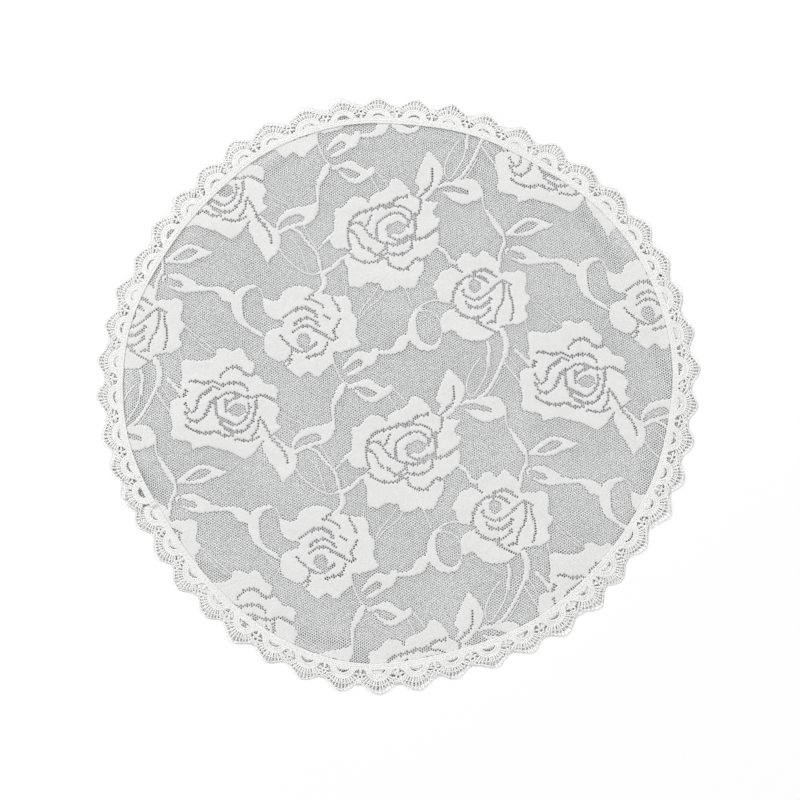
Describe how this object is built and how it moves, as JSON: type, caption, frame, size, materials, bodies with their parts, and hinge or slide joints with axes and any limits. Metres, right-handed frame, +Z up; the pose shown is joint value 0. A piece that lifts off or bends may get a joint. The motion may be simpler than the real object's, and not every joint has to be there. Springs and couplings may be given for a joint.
{
  "type": "round lace table cloth",
  "caption": "Small round cloth of knitted rose lace with a sewn-on edging of scalloped guipure fans, laid flat to cover and protect a table top.",
  "frame": {"origin": "centre of the cloth's underside, on the table top", "axes": "+Z up, out of the face of the cloth; +X to the right and +Y away when the roses stand upright"},
  "size_m": [0.45, 0.45, 0.0026],
  "materials": {
    "net": "fine hexagonal knitted net, slightly lustrous white polyester",
    "flowers": "close-knitted solid flowers in the same white yarn",
    "guipure": "embroidered cord lace, matt slightly warm white",
    "thread": "white spun polyester sewing thread"
  },
  "bodies": {
    "root": {"lace_ground_panel": "net", "large_rose_a": "flowers", "large_rose_b": "flowers", "small_rose_c": "flowers", "small_rose_d": "flowers", "rose_leaves": "flowers", "leaf_sprays": "flowers", "scroll_ribbons": "flowers", "flower_buds": "flowers", "flower_stems": "flowers", "trim_heading_band": "guipure", "trim_arch_cords": "guipure", "trim_fan_spokes": "guipure", "trim_picot_edge": "guipure", "trim_valley_bars": "guipure", "trim_lap_end": "guipure", "seam_needle_thread": "thread", "seam_bobbin_thread": "thread", "lap_tack_stitches": "thread"}
  },
  "joints": []
}
